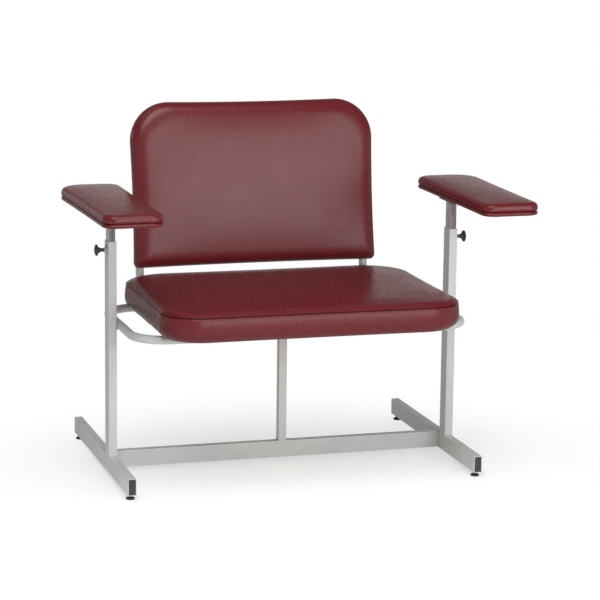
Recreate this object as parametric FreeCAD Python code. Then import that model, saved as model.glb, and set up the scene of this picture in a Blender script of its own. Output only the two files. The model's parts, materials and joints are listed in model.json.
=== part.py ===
import FreeCAD, Part
import math
import os

# Extra-wide phlebotomy chair. Millimetres, +Z up, the sitter faces -Y.
# The origin is on the floor, under the middle of the chair's overall width and depth.
# "Left" and "right" are seen from in front, so left is -X.
# A welded frame of tube stands on two foot rails. Each post is also the sleeve of an
# armrest's stem, which a clamp knob holds at its height.

os.makedirs("parts", exist_ok=True)
Vector = FreeCAD.Vector
half_turn = 180.0
quarter_turn = 90.0
full_turn = 360.0
x_axis = Vector(1, 0, 0)
y_axis = Vector(0, 1, 0)
origin = Vector(0, 0, 0)
sides = {"left": -1, "right": 1}

# Base frame: foot rails, crossbar and posts
foot_height = 15.0
rail_width = 25.4
rail_height = 50.8
rail_wall = 2.1
rail_length = 773.5
rail_front_reach = 284.5
tube_corner = 2.4
seat_to_post = 65.8
post_width = 25.4
post_depth = 50.8
post_wall = 3.0
post_plane_y = -22.5
sleeve_top_z = 713.3
crossbar_depth = 25.4
crossbar_setback = 39.9
crossbar_wall = 2.1
centre_post_width = 25.4
centre_post_wall = 1.6
centre_post_offset = 12.7

# Seat support: the round-tube ring between the posts and the brace on the centre post
ring_z = 462.0
ring_tube = 25.4
ring_wall = 2.1
ring_front_reach = 252.0
ring_rear_reach = 238.0
ring_corner = 100.0
brace_height = 25.4
brace_wall = 2.1
brace_end_setback = 46.5

# Back uprights: round tube, bent forward under the seat
upright_tube = 25.4
upright_wall = 2.1
upright_edge_distance = 25.5
upright_bend = 76.0
upright_rise = 400.0
leg_overhang = 26.0

# Seat
seat_width = 903.0
seat_front_reach = 393.0
seat_rear_reach = 281.0
seat_front_corner = 110.0
seat_rear_corner = 130.0
seat_side = 73.0
seat_tuck = 18.0
seat_seam_draw = 3.0
seat_drawn_in = 3.0
seat_roll = 24.0
seat_roll_rise = 12.5
seat_crown = 18.0
seat_board_thickness = 12.7
seat_board_margin = 5.0

# Back
back_side_setback = 63.0
back_height = 509.0
back_lean = 8.0
back_rear_reach = 336.4
back_bottom_z = 565.6
back_top_corner = 120.0
back_bottom_corner = 26.0
back_side = 50.0
back_tuck = 7.0
back_seam_draw = 2.5
back_drawn_in = 3.0
back_roll = 20.0
back_roll_rise = 14.0
back_crown = 22.0
back_board_thickness = 12.7
back_board_margin = 6.0
back_cover_thickness = 1.6

# Armrests: pad, board, block, plate and stem
arm_inner_reach = 60.0
arm_outer_front_reach = 113.0
arm_outer_rear_reach = 128.0
arm_front_reach = 444.0
arm_rear_reach = 173.0
arm_front_corner = 34.0
arm_rear_inner_corner = 42.0
arm_rear_outer_corner = 78.0
arm_board_thickness = 12.0
arm_board_tuck = 2.5
arm_pad_side = 18.0
arm_pad_tuck = 4.5
arm_pad_roll = 9.0
arm_pad_roll_rise = 7.0
arm_pad_crown = 11.0
arm_drawn_in = 1.5
arm_block_width = 60.0
arm_block_length = 150.0
arm_block_thickness = 12.0
arm_block_rear_reach = 31.0
arm_plate_thickness = 3.0
arm_lifts = {"left": 108.7, "right": 103.7}
stem_gap = 0.15
stem_wall = 2.0
stem_corner = 1.6
stem_length = 360.0

# Clamp at the top of each post
clamp_drop = 26.4
stud_diameter = 7.9
thread_gap = 0.05
clamp_gap = 0.1
boss_flange_diameter = 30.0
boss_flange_thickness = 3.0
boss_hub_diameter = 14.0
boss_hub_length = 4.0
knob_gap = 1.0
knob_neck_diameter = 11.0
knob_neck_length = 7.0
knob_diameter = 34.0
knob_flare_length = 13.0
knob_rim_length = 3.5
knob_dome_rise = 4.5
knob_socket_depth = 15.0

# Levelling glides
glide_inset = 25.0
glide_diameter = 26.0
glide_rim_height = 4.5
glide_edge_round = 1.2
glide_neck_diameter = 13.0
glide_cone_height = 4.0
glide_stud_diameter = 7.9
glide_stud_reach = 13.0
glide_nut_diameter = 15.0
glide_nut_height = 9.0
glide_nut_neck_diameter = 11.0

# Plugs in the tubes' ends
plug_gap = 0.1
plug_depth = 15.0
plug_wall = 2.2
plug_recess = 1.0
plug_lip = 2.0
stem_plug_lip = 3.0

# Fasteners
bolt_diameter = 7.8
bolt_hole_gap = 0.3
bolt_head_across = 13.0
bolt_head_height = 5.3
washer_diameter = 17.0
washer_thickness = 1.6
tee_nut_barrel = 10.0
tee_nut_flange = 19.0
tee_nut_flange_thickness = 1.5
tee_nut_length = 10.0
brace_bolt_share = 0.37
back_bolt_heights = (90.0, 340.0)
screw_diameter = 4.8
screw_head_diameter = 10.0
screw_head_height = 2.8
arm_screw_length = 24.0
screw_edge_distance = 12.0
ring_screw_share = 0.35
ring_screw_bite = 10.0

# Sizes and places that follow from the ones above
rail_top_z = foot_height + rail_height
post_spacing = seat_width + 2 * seat_to_post + post_width
back_width = seat_width - 2 * back_side_setback
upright_spacing = back_width - 2 * upright_edge_distance
brace_length = seat_width - 2 * brace_end_setback
post_x = post_spacing / 2
rail_front_y = post_plane_y - rail_front_reach
rail_rear_y = rail_front_y + rail_length
crossbar_y = post_plane_y + crossbar_setback + crossbar_depth / 2
seat_bottom_z = ring_z + ring_tube / 2
brace_bottom_z = seat_bottom_z - brace_height
leg_z = ring_z - ring_tube / 2 - upright_tube / 2
clamp_z = sleeve_top_z - clamp_drop
ring_width = post_spacing - post_width - ring_tube
stem_width = post_width - 2 * post_wall - 2 * stem_gap
stem_depth = post_depth - 2 * post_wall - 2 * stem_gap
arm_stack = arm_block_thickness + arm_plate_thickness


def export(node, shape):
    """Write one node's solids to its own file."""
    shape.exportStep("parts/%s.step" % node)


def rounded_wire(corners, radii, inset, drawn_in, z):
    """Closed outline at height z: the corners' polygon set in by inset, with round corners.

    The corners run counter-clockwise. Each side is drawn in at its middle by drawn_in.
    """
    count = len(corners)
    normals = []
    for i in range(count):
        ax, ay = corners[i]
        bx, by = corners[(i + 1) % count]
        length = math.hypot(bx - ax, by - ay)
        normals.append((-(by - ay) / length, (bx - ax) / length))
    starts = []
    middles = []
    ends = []
    for i in range(count):
        before = normals[i - 1]
        after = normals[i]
        cosine = before[0] * after[0] + before[1] * after[1]
        reach = inset / (1 + cosine)
        x = corners[i][0] + (before[0] + after[0]) * reach
        y = corners[i][1] + (before[1] + after[1]) * reach
        turn = math.acos(cosine)
        tangent = radii[i] * math.tan(turn / 2)
        starts.append(Vector(x - before[1] * tangent, y + before[0] * tangent, z))
        ends.append(Vector(x + after[1] * tangent, y - after[0] * tangent, z))
        towards = Vector(before[0] + after[0], before[1] + after[1], 0)
        towards.normalize()
        depth = radii[i] / math.cos(turn / 2) - radii[i]
        middles.append(Vector(x, y, z) + towards * depth)
    edges = []
    for i in range(count):
        following = (i + 1) % count
        edges.append(Part.Arc(starts[i], middles[i], ends[i]).toShape())
        inward = Vector(normals[i][0], normals[i][1], 0)
        halfway = (ends[i] + starts[following]) * 0.5 + inward * drawn_in
        if drawn_in > 0:
            edges.append(Part.Arc(ends[i], halfway, starts[following]).toShape())
        else:
            edges.append(Part.LineSegment(ends[i], starts[following]).toShape())
    return Part.Wire(edges)


def rectangle(x0, x1, y0, y1):
    """Corners of a rectangle, counter-clockwise from its front left."""
    return [(x0, y0), (x1, y0), (x1, y1), (x0, y1)]


def plate(corners, radii, inset, thickness, z):
    """Flat piece of the outline's shape."""
    wire = rounded_wire(corners, radii, inset, 0, z)
    return Part.Face(wire).extrude(Vector(0, 0, thickness))


def rect_bar(width, depth, corner, length):
    """Solid bar along +Z, centred on the axis."""
    corners = rectangle(-width / 2, width / 2, -depth / 2, depth / 2)
    return plate(corners, [corner] * 4, 0, length, 0)


def rect_tube(width, depth, wall, corner, length):
    """Rectangular tube along +Z, centred on the axis."""
    inner_corner = max(corner - wall, corner / 3)
    bore = rect_bar(width - 2 * wall, depth - 2 * wall, inner_corner, length)
    return rect_bar(width, depth, corner, length).cut(bore)


def pointing_rearward(shape, x, y, z):
    """Turn a shape made along +Z to run along +Y, its own Y being up, and place it."""
    shape.rotate(origin, x_axis, quarter_turn)
    shape.rotate(origin, Vector(0, 0, 1), half_turn)
    shape.translate(Vector(x, y, z))
    return shape


def pointing_right(shape, x, y, z):
    """Turn a shape made along +Z to run along +X and place it."""
    shape.rotate(origin, y_axis, quarter_turn)
    shape.translate(Vector(x, y, z))
    return shape


def to_side(shape, side):
    """A shape made for the right side, or its mirror image for the left."""
    if side == "right":
        return shape
    return shape.mirror(origin, x_axis)


def upright_cylinder(diameter, x, y, z0, z1):
    """Cylinder along +Z between two heights."""
    return Part.makeCylinder(diameter / 2, z1 - z0, Vector(x, y, z0))


def hex_prism(across, height):
    """Hexagon bar along +Z, by its distance across flats."""
    radius = across / 2 / math.cos(math.pi / 6)
    points = []
    for i in range(7):
        angle = math.pi / 3 * i
        points.append(Vector(radius * math.cos(angle), radius * math.sin(angle), 0))
    return Part.Face(Part.makePolygon(points)).extrude(Vector(0, 0, height))


def bolt(grip):
    """Hexagon bolt with its washer: the grip and thread run along +Z from the washer's face."""
    shank = Part.makeCylinder(bolt_diameter / 2, grip)
    washer = Part.makeCylinder(washer_diameter / 2, washer_thickness, Vector(0, 0, -washer_thickness))
    head = hex_prism(bolt_head_across, bolt_head_height)
    head.translate(Vector(0, 0, -washer_thickness - bolt_head_height))
    edge = bolt_head_height / 4
    cone = Part.makeCone(bolt_head_across / 2 - edge / 4, bolt_head_across / 2 + bolt_head_height,
                         bolt_head_height + edge)
    cone.translate(Vector(0, 0, -washer_thickness - bolt_head_height))
    return shank.fuse([washer, head.common(cone)])


def tee_nut():
    """Tee nut: barrel down from z = 0, flange on top of it, bored through."""
    barrel = Part.makeCylinder(tee_nut_barrel / 2, tee_nut_length, Vector(0, 0, -tee_nut_length))
    flange = Part.makeCylinder(tee_nut_flange / 2, tee_nut_flange_thickness,
                               Vector(0, 0, -tee_nut_flange_thickness))
    bore = Part.makeCylinder(bolt_diameter / 2, tee_nut_length, Vector(0, 0, -tee_nut_length))
    return barrel.fuse(flange).cut(bore)


def tee_nut_seat():
    """The hole that a tee nut fills."""
    barrel = Part.makeCylinder(tee_nut_barrel / 2, tee_nut_length, Vector(0, 0, -tee_nut_length))
    flange = Part.makeCylinder(tee_nut_flange / 2, tee_nut_flange_thickness,
                               Vector(0, 0, -tee_nut_flange_thickness))
    return barrel.fuse(flange)


def screw(length):
    """Pan-head screw: its shank runs along +Z from the head's underside."""
    head = Part.makeCone(screw_head_diameter / 2 - screw_head_height / 2, screw_head_diameter / 2,
                         screw_head_height, Vector(0, 0, -screw_head_height))
    return head.fuse(Part.makeCylinder(screw_diameter / 2, length))


def placed(shape, x, y, z):
    """A copy of the shape moved to a place."""
    copy = shape.copy()
    copy.translate(Vector(x, y, z))
    return copy


def cushion(corners, radii, side, tuck, seam_draw, drawn_in, roll, roll_rise, crown, z):
    """Padded form: sides that swell between base and seam, a rolled edge and a crowned top."""
    side_shares = [(0, 1), (0.2, 0.45), (0.5, 0.06), (0.78, 0)]
    boxing = []
    for height_share, tuck_share in side_shares:
        boxing.append((side * height_share, tuck * tuck_share))
    boxing.append((side, seam_draw))
    reach = min(abs(corners[1][0] - corners[0][0]), abs(corners[2][1] - corners[1][1])) / 2
    top = [(side, seam_draw)]
    roll_shares = [(0.12, 0.4), (0.4, 0.75), (1, 1)]
    for inset_share, rise_share in roll_shares:
        top.append((side + roll_rise * rise_share, seam_draw + roll * inset_share))
    crown_shares = [(0.22, 0.45), (0.5, 0.82), (0.8, 1)]
    field = reach - seam_draw - roll
    for inset_share, rise_share in crown_shares:
        rise = roll_rise + (crown - roll_rise) * rise_share
        top.append((side + rise, seam_draw + roll + field * inset_share))
    solids = []
    for sections in (boxing, top):
        wires = []
        for height, inset in sections:
            left_share = 1 - inset / reach
            rounds = [radius * left_share for radius in radii]
            wires.append(rounded_wire(corners, rounds, inset, drawn_in * left_share, z + height))
        solids.append(Part.makeLoft(wires, True, False))
    return solids[0].fuse(solids[1])


# Foot rails, with holes for the glides' nuts
glide_ys = (rail_front_y + glide_inset, rail_rear_y - glide_inset)
for side, sign in sides.items():
    rail = rect_tube(rail_width, rail_height, rail_wall, tube_corner, rail_length)
    pointing_rearward(rail, sign * post_x, rail_front_y, foot_height + rail_height / 2)
    for glide_y in glide_ys:
        hole = upright_cylinder(glide_nut_neck_diameter, sign * post_x, glide_y, foot_height,
                                foot_height + rail_wall)
        rail = rail.cut(hole)
    export("%s_foot_rail" % side, rail)

# Crossbar, butted between the rails, and the centre post that stands on it
crossbar_length = post_spacing - rail_width
crossbar = rect_tube(rail_height, crossbar_depth, crossbar_wall, tube_corner, crossbar_length)
pointing_right(crossbar, -crossbar_length / 2, crossbar_y, foot_height + rail_height / 2)
export("crossbar", crossbar)
centre_post = rect_tube(centre_post_width, crossbar_depth, centre_post_wall, tube_corner,
                        brace_bottom_z - rail_top_z)
centre_post.translate(Vector(centre_post_offset, crossbar_y, rail_top_z))
export("centre_post", centre_post)

# Posts: each stands on its rail, and its outer wall has the clamp's hole
for side, sign in sides.items():
    post = rect_tube(post_width, post_depth, post_wall, tube_corner, sleeve_top_z - rail_top_z)
    post.translate(Vector(post_x, post_plane_y, rail_top_z))
    hole_diameter = stud_diameter + 2 * bolt_hole_gap
    hole = Part.makeCylinder(hole_diameter / 2, post_width, Vector(post_x, post_plane_y, clamp_z), x_axis)
    export("%s_post" % side, to_side(post.cut(hole), side))

# Seat ring: a loop of straight tubes and elbows, butted end to end, that touches both
# posts' inner faces
ring_front_y = post_plane_y - ring_front_reach
ring_rear_y = post_plane_y + ring_rear_reach
ring_corners = rectangle(-ring_width / 2, ring_width / 2, ring_front_y, ring_rear_y)
ring_path = rounded_wire(ring_corners, [ring_corner] * 4, 0, 0, ring_z)


def bar_along(run, diameter):
    """Round bar along one run of the ring's centre line."""
    start = run.valueAt(run.FirstParameter)
    section = Part.Circle(start, run.tangentAt(run.FirstParameter), diameter / 2)
    return Part.Wire(run).makePipe(Part.Face(Part.Wire(section.toShape())))


bolt_hole = bolt_diameter + 2 * bolt_hole_gap
upright_xs = (-upright_spacing / 2, upright_spacing / 2)
ring_screw_xs = (-seat_width * ring_screw_share, 0, seat_width * ring_screw_share)
brace_bolt_xs = (-brace_length * brace_bolt_share / 2, brace_length * brace_bolt_share / 2)
ring_base_z = ring_z - ring_tube / 2
ring_holes = []
for x in upright_xs:
    ring_holes.append(upright_cylinder(bolt_hole, x, ring_rear_y, ring_base_z, seat_bottom_z))
for x in ring_screw_xs:
    ring_holes.append(upright_cylinder(screw_diameter, x, ring_front_y, ring_base_z, seat_bottom_z))
ring_tubes = []
for run in ring_path.Edges:
    tube = bar_along(run, ring_tube).cut(bar_along(run, ring_tube - 2 * ring_wall))
    ring_tubes.append(tube.cut(ring_holes))
export("seat_ring", Part.makeCompound(ring_tubes))

# Seat brace: a bar along X on the centre post, under the middle of the seat board
brace_y = crossbar_y
brace = rect_tube(brace_height, crossbar_depth, brace_wall, tube_corner, brace_length)
pointing_right(brace, -brace_length / 2, brace_y, brace_bottom_z + brace_height / 2)
for x in upright_xs + brace_bolt_xs:
    brace = brace.cut(upright_cylinder(bolt_hole, x, brace_y, brace_bottom_z, seat_bottom_z))
export("seat_brace", brace)

# Back frame of reference: the middle of the back's lower rear edge, leaning rearward
back_foot = Vector(0, post_plane_y + back_rear_reach, back_bottom_z)


def leaned(shape):
    """Stand up a shape drawn flat, its Y up the back and its Z towards the sitter."""
    shape.rotate(origin, x_axis, quarter_turn - back_lean)
    shape.translate(back_foot)
    return shape


# Uprights: up behind the back, round a bend, and forward under the ring and the brace
lean = math.radians(back_lean)
up_the_back = Vector(0, math.sin(lean), math.cos(lean))
behind_the_back = Vector(0, math.cos(lean), -math.sin(lean))
upright_foot = back_foot + behind_the_back * (upright_tube / 2)
upright_top = upright_foot + up_the_back * upright_rise
bend_point = upright_foot + up_the_back * ((leg_z - upright_foot.z) / math.cos(lean))
bend_turn = math.pi / 2 - lean
bend_tangent = upright_bend * math.tan(bend_turn / 2)
bend_start = bend_point - y_axis * bend_tangent
bend_end = bend_point + up_the_back * bend_tangent
bend_centre = bend_start + Vector(0, 0, upright_bend)
bend_middle = bend_centre + Vector(0, math.sin(bend_turn / 2), -math.cos(bend_turn / 2)) * upright_bend
leg_front = Vector(0, brace_y - leg_overhang, leg_z)


def upright_of(diameter):
    """Round bar along an upright's centre line, at X = 0."""
    path = Part.Wire([Part.LineSegment(leg_front, bend_start).toShape(),
                      Part.Arc(bend_start, bend_middle, bend_end).toShape(),
                      Part.LineSegment(bend_end, upright_top).toShape()])
    section = Part.Circle(leg_front, y_axis, diameter / 2)
    return path.makePipe(Part.Face(Part.Wire(section.toShape())))


def across_the_back(diameter, height, depth):
    """Cylinder square to the back: from its rear face towards the uprights, at X = 0."""
    foot = back_foot + up_the_back * height
    return Part.makeCylinder(diameter / 2, depth, foot, behind_the_back)


upright = upright_of(upright_tube).cut(upright_of(upright_tube - 2 * upright_wall))
for y in (brace_y, ring_rear_y):
    upright = upright.cut(upright_cylinder(bolt_hole, 0, y, leg_z - upright_tube / 2, ring_base_z))
for height in back_bolt_heights:
    upright = upright.cut(across_the_back(bolt_hole, height, upright_tube))
for side, sign in sides.items():
    export("%s_back_upright" % side, placed(upright, sign * upright_spacing / 2, 0, 0))

# Seat: the board lies on the ring and the brace, inside the cushion's base
seat_front_y = post_plane_y - seat_front_reach
seat_rear_y = post_plane_y + seat_rear_reach
seat_corners = rectangle(-seat_width / 2, seat_width / 2, seat_front_y, seat_rear_y)
seat_radii = [seat_front_corner, seat_front_corner, seat_rear_corner, seat_rear_corner]
seat_board_inset = seat_tuck + seat_board_margin
board_radii = [radius - seat_board_inset for radius in seat_radii]
board_blank = plate(seat_corners, board_radii, seat_board_inset, seat_board_thickness, seat_bottom_z)
seat_pad = cushion(seat_corners, seat_radii, seat_side, seat_tuck, seat_seam_draw, seat_drawn_in,
                   seat_roll, seat_roll_rise, seat_crown, seat_bottom_z)
export("seat_cushion", seat_pad.cut(board_blank))
seat_bolt_places = [(x, brace_y) for x in upright_xs + brace_bolt_xs]
seat_bolt_places += [(x, ring_rear_y) for x in upright_xs]
board_top_z = seat_bottom_z + seat_board_thickness
seat_board = board_blank
seat_tee_nuts = []
for x, y in seat_bolt_places:
    seat_board = seat_board.cut(placed(tee_nut_seat(), x, y, board_top_z))
    seat_board = seat_board.cut(upright_cylinder(bolt_hole, x, y, seat_bottom_z, board_top_z))
    seat_tee_nuts.append(placed(tee_nut(), x, y, board_top_z))
ring_screws = []
for x in ring_screw_xs:
    ring_screw = placed(screw(ring_tube + ring_screw_bite), x, ring_front_y, ring_base_z)
    seat_board = seat_board.cut(ring_screw)
    ring_screws.append(ring_screw)
export("seat_board", seat_board)
export("ring_screws", Part.makeCompound(ring_screws))
export("seat_tee_nuts", Part.makeCompound(seat_tee_nuts))

# Bolts that hold the uprights' legs and the seat board: long ones through the legs,
# short ones through the brace alone
long_grip = board_top_z - (leg_z - upright_tube / 2)
frame_bolts = []
for x in upright_xs:
    for y in (brace_y, ring_rear_y):
        frame_bolts.append(placed(bolt(long_grip), x, y, leg_z - upright_tube / 2))
export("frame_bolts", Part.makeCompound(frame_bolts))
seat_bolts = []
for x in brace_bolt_xs:
    seat_bolts.append(placed(bolt(board_top_z - brace_bottom_z), x, brace_y, brace_bottom_z))
export("seat_bolts", Part.makeCompound(seat_bolts))

# Back: a rear cover, the board and the cushion that wraps them, drawn flat and leaned
back_corners = rectangle(-back_width / 2, back_width / 2, 0, back_height)
back_radii = [back_bottom_corner, back_bottom_corner, back_top_corner, back_top_corner]
back_board_inset = back_tuck + back_board_margin
back_board_radii = [radius - back_board_inset for radius in back_radii]
cover_blank = plate(back_corners, back_board_radii, back_board_inset, back_cover_thickness, 0)
back_board = plate(back_corners, back_board_radii, back_board_inset, back_board_thickness,
                   back_cover_thickness)
back_pad = cushion(back_corners, back_radii, back_side, back_tuck, back_seam_draw, back_drawn_in,
                   back_roll, back_roll_rise, back_crown, 0)
back_pad = back_pad.cut(back_board).cut(cover_blank)
back_board_top = back_cover_thickness + back_board_thickness
back_tee_nuts = []
for x in upright_xs:
    for height in back_bolt_heights:
        hole = Part.makeCylinder(bolt_hole / 2, back_board_top, Vector(x, height, 0))
        cover_blank = cover_blank.cut(hole)
        back_board = back_board.cut(hole).cut(placed(tee_nut_seat(), x, height, back_board_top))
        back_tee_nuts.append(placed(tee_nut(), x, height, back_board_top))
export("back_cover", leaned(cover_blank))
export("back_board", leaned(back_board))
export("back_cushion", leaned(back_pad))
export("back_tee_nuts", leaned(Part.makeCompound(back_tee_nuts)))
back_bolts = []
for x in upright_xs:
    for height in back_bolt_heights:
        back_bolts.append(placed(bolt(upright_tube + back_board_top), x, height, -upright_tube))
export("back_bolts", leaned(Part.makeCompound(back_bolts)))

# Armrests, drawn for the right side with the arm board's underside at z = 0
arm_corners = [(post_x - arm_inner_reach, post_plane_y - arm_front_reach),
               (post_x + arm_outer_front_reach, post_plane_y - arm_front_reach),
               (post_x + arm_outer_rear_reach, post_plane_y + arm_rear_reach),
               (post_x - arm_inner_reach, post_plane_y + arm_rear_reach)]
arm_radii = [arm_front_corner, arm_front_corner, arm_rear_outer_corner, arm_rear_inner_corner]


def arm_board():
    """Thin wrapped board with rounded edges."""
    edge_shares = [(0, 1), (0.3, 0.2), (0.7, 0.2), (1, 1)]
    wires = []
    for height_share, tuck_share in edge_shares:
        wires.append(rounded_wire(arm_corners, arm_radii, arm_board_tuck * tuck_share, arm_drawn_in,
                                  arm_board_thickness * height_share))
    return Part.makeLoft(wires, True, False)


block_front_y = post_plane_y + arm_block_rear_reach - arm_block_length
block_rear_y = post_plane_y + arm_block_rear_reach
block_corners = rectangle(post_x - arm_block_width / 2, post_x + arm_block_width / 2,
                          block_front_y, block_rear_y)
block_radii = [screw_head_diameter / 2] * 4
screw_xs = (post_x - arm_block_width / 2 + screw_edge_distance,
            post_x + arm_block_width / 2 - screw_edge_distance)
screw_ys = (block_front_y + screw_edge_distance, block_rear_y - screw_edge_distance)
screw_places = [(x, y) for x in screw_xs for y in screw_ys]


for side, sign in sides.items():
    lift = sleeve_top_z + arm_lifts[side]
    pad = cushion(arm_corners, arm_radii, arm_pad_side, arm_pad_tuck, 0, arm_drawn_in,
                  arm_pad_roll, arm_pad_roll_rise, arm_pad_crown, arm_board_thickness)
    board = arm_board()
    block = plate(block_corners, block_radii, 0, arm_block_thickness, -arm_block_thickness)
    arm_plate = plate(block_corners, block_radii, 0, arm_plate_thickness, -arm_stack)
    screws = []
    for x, y in screw_places:
        shank_hole = upright_cylinder(screw_diameter, x, y, -arm_stack, arm_screw_length - arm_stack)
        board = board.cut(shank_hole)
        block = block.cut(shank_hole)
        arm_plate = arm_plate.cut(shank_hole)
        screws.append(placed(screw(arm_screw_length), x, y, -arm_stack))
    stem = rect_tube(stem_width, stem_depth, stem_wall, stem_corner, stem_length)
    stem.translate(Vector(post_x, post_plane_y, -arm_stack - stem_length))
    plug_corners = rectangle(-stem_width / 2, stem_width / 2, -stem_depth / 2, stem_depth / 2)
    inner = plate(plug_corners, [stem_corner / 2] * 4, stem_wall + plug_gap, plug_depth, 0)
    lip = plate(plug_corners, [stem_corner] * 4, 0, stem_plug_lip, -stem_plug_lip)
    stem_plug = placed(inner.fuse(lip), post_x, post_plane_y, -arm_stack - stem_length)
    pieces = {"arm_pad": pad, "arm_board": board, "arm_block": block, "arm_plate": arm_plate,
              "arm_screws": Part.makeCompound(screws), "arm_stem": stem, "stem_plug": stem_plug}
    for name, piece in pieces.items():
        piece.translate(Vector(0, 0, lift))
        export("%s_%s" % (side, name), to_side(piece, side))

# Clamps: a boss welded on the post's outer face, and a knob whose stud presses on the stem
post_face_x = post_x + post_width / 2
stem_face_x = post_x + stem_width / 2
knob_start = boss_flange_thickness + boss_hub_length + knob_gap
knob_length = knob_neck_length + knob_flare_length + knob_rim_length + knob_dome_rise


def clamp_boss():
    """Flanged boss along +Z, bored for the stud."""
    flange = Part.makeCylinder(boss_flange_diameter / 2, boss_flange_thickness)
    hub = Part.makeCylinder(boss_hub_diameter / 2, boss_flange_thickness + boss_hub_length)
    bore = Part.makeCylinder(stud_diameter / 2 + thread_gap, boss_flange_thickness + boss_hub_length)
    return flange.fuse(hub).cut(bore)


def clamp_knob():
    """Bell-shaped knob along +Z: neck, flare, rim and domed face, with a socket for the stud."""
    neck = knob_neck_diameter / 2
    rim = knob_diameter / 2
    flare_start = knob_neck_length
    flare_end = flare_start + knob_flare_length
    rim_end = flare_end + knob_rim_length
    flare_middle_share = 0.62
    flare_bulge_share = 0.3
    bottom = Vector(0, 0, 0)
    neck_foot = Vector(neck, 0, 0)
    neck_top = Vector(neck, 0, flare_start)
    flare_middle = Vector(neck + (rim - neck) * flare_bulge_share, 0,
                          flare_start + knob_flare_length * flare_middle_share)
    rim_foot = Vector(rim, 0, flare_end)
    rim_top = Vector(rim, 0, rim_end)
    dome_radius = (rim * rim + knob_dome_rise * knob_dome_rise) / (2 * knob_dome_rise)
    dome_turn = math.asin(rim / dome_radius)
    dome_middle = Vector(dome_radius * math.sin(dome_turn / 2), 0,
                         rim_end + knob_dome_rise - dome_radius * (1 - math.cos(dome_turn / 2)))
    tip = Vector(0, 0, rim_end + knob_dome_rise)
    outline = Part.Wire([Part.LineSegment(bottom, neck_foot).toShape(),
                         Part.LineSegment(neck_foot, neck_top).toShape(),
                         Part.Arc(neck_top, flare_middle, rim_foot).toShape(),
                         Part.LineSegment(rim_foot, rim_top).toShape(),
                         Part.Arc(rim_top, dome_middle, tip).toShape(),
                         Part.LineSegment(tip, bottom).toShape()])
    body = Part.Face(outline).revolve(origin, Vector(0, 0, 1), full_turn)
    return body.cut(Part.makeCylinder(stud_diameter / 2, knob_socket_depth))


stud_start_x = stem_face_x + clamp_gap
stud_length = post_face_x + knob_start + knob_socket_depth - stud_start_x
for side, sign in sides.items():
    boss = pointing_right(clamp_boss(), post_face_x, post_plane_y, clamp_z)
    knob = pointing_right(clamp_knob(), post_face_x + knob_start, post_plane_y, clamp_z)
    stud = Part.makeCylinder(stud_diameter / 2, stud_length)
    pointing_right(stud, stud_start_x, post_plane_y, clamp_z)
    export("%s_clamp_boss" % side, to_side(boss, side))
    export("%s_clamp_knob" % side, to_side(knob, side))
    export("%s_knob_stud" % side, to_side(stud, side))


# Levelling glides: a plastic foot on a threaded stud that turns in a nut in the rail
def glide_foot():
    """Round foot with a cone up to its neck."""
    rim = Part.makeCylinder(glide_diameter / 2, glide_rim_height)
    rim = rim.makeFillet(glide_edge_round, rim.Edges[0:3:2])
    cone = Part.makeCone(glide_diameter / 2 - glide_edge_round, glide_neck_diameter / 2,
                         glide_cone_height, Vector(0, 0, glide_rim_height))
    bore = Part.makeCylinder(glide_stud_diameter / 2, foot_height, Vector(0, 0, glide_rim_height))
    return rim.fuse(cone).cut(bore)


def glide_nut():
    """Nut inside the rail, with a neck through the rail's lower wall."""
    neck = Part.makeCylinder(glide_nut_neck_diameter / 2, rail_wall)
    body = Part.makeCylinder(glide_nut_diameter / 2, glide_nut_height, Vector(0, 0, rail_wall))
    bore = Part.makeCylinder(glide_stud_diameter / 2 + thread_gap, rail_wall + glide_nut_height)
    return neck.fuse(body).cut(bore)


glide_nuts = []
for side, sign in sides.items():
    for place, glide_y in zip(("front", "rear"), glide_ys):
        export("%s_%s_glide" % (place, side), placed(glide_foot(), sign * post_x, glide_y, 0))
        stud = upright_cylinder(glide_stud_diameter, sign * post_x, glide_y, glide_rim_height,
                                foot_height + glide_stud_reach)
        export("%s_%s_glide_stud" % (place, side), stud)
        glide_nuts.append(placed(glide_nut(), sign * post_x, glide_y, foot_height))
export("glide_nuts", Part.makeCompound(glide_nuts))


# Plugs in the ends of the rails, the brace and the uprights
def rect_plug(width, depth, wall):
    """Hollow plug for a rectangular tube, along +Z, its closed face at z = 0."""
    width_inside = width - 2 * wall - 2 * plug_gap
    depth_inside = depth - 2 * wall - 2 * plug_gap
    body = rect_bar(width_inside, depth_inside, tube_corner / 3, plug_depth)
    hollow = rect_bar(width_inside - 2 * plug_wall, depth_inside - 2 * plug_wall, tube_corner / 3,
                      plug_depth - plug_wall)
    hollow.translate(Vector(0, 0, plug_wall))
    return body.cut(hollow)


front_caps = []
rear_caps = []
for side, sign in sides.items():
    front = rect_plug(rail_width, rail_height, rail_wall)
    pointing_rearward(front, sign * post_x, rail_front_y + plug_recess, foot_height + rail_height / 2)
    front_caps.append(front)
    rear = rect_plug(rail_width, rail_height, rail_wall)
    rear.rotate(origin, x_axis, quarter_turn)
    rear.translate(Vector(sign * post_x, rail_rear_y - plug_recess, foot_height + rail_height / 2))
    rear_caps.append(rear)
export("front_rail_caps", Part.makeCompound(front_caps))
export("rear_rail_caps", Part.makeCompound(rear_caps))

brace_caps = []
for side, sign in sides.items():
    cap = rect_plug(brace_height, crossbar_depth, brace_wall)
    cap.rotate(origin, Vector(0, 0, 1), half_turn)
    cap.rotate(origin, y_axis, -quarter_turn)
    cap.translate(Vector(brace_length / 2 - plug_recess, brace_y, brace_bottom_z + brace_height / 2))
    brace_caps.append(to_side(cap, side))
export("brace_caps", Part.makeCompound(brace_caps))


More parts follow.
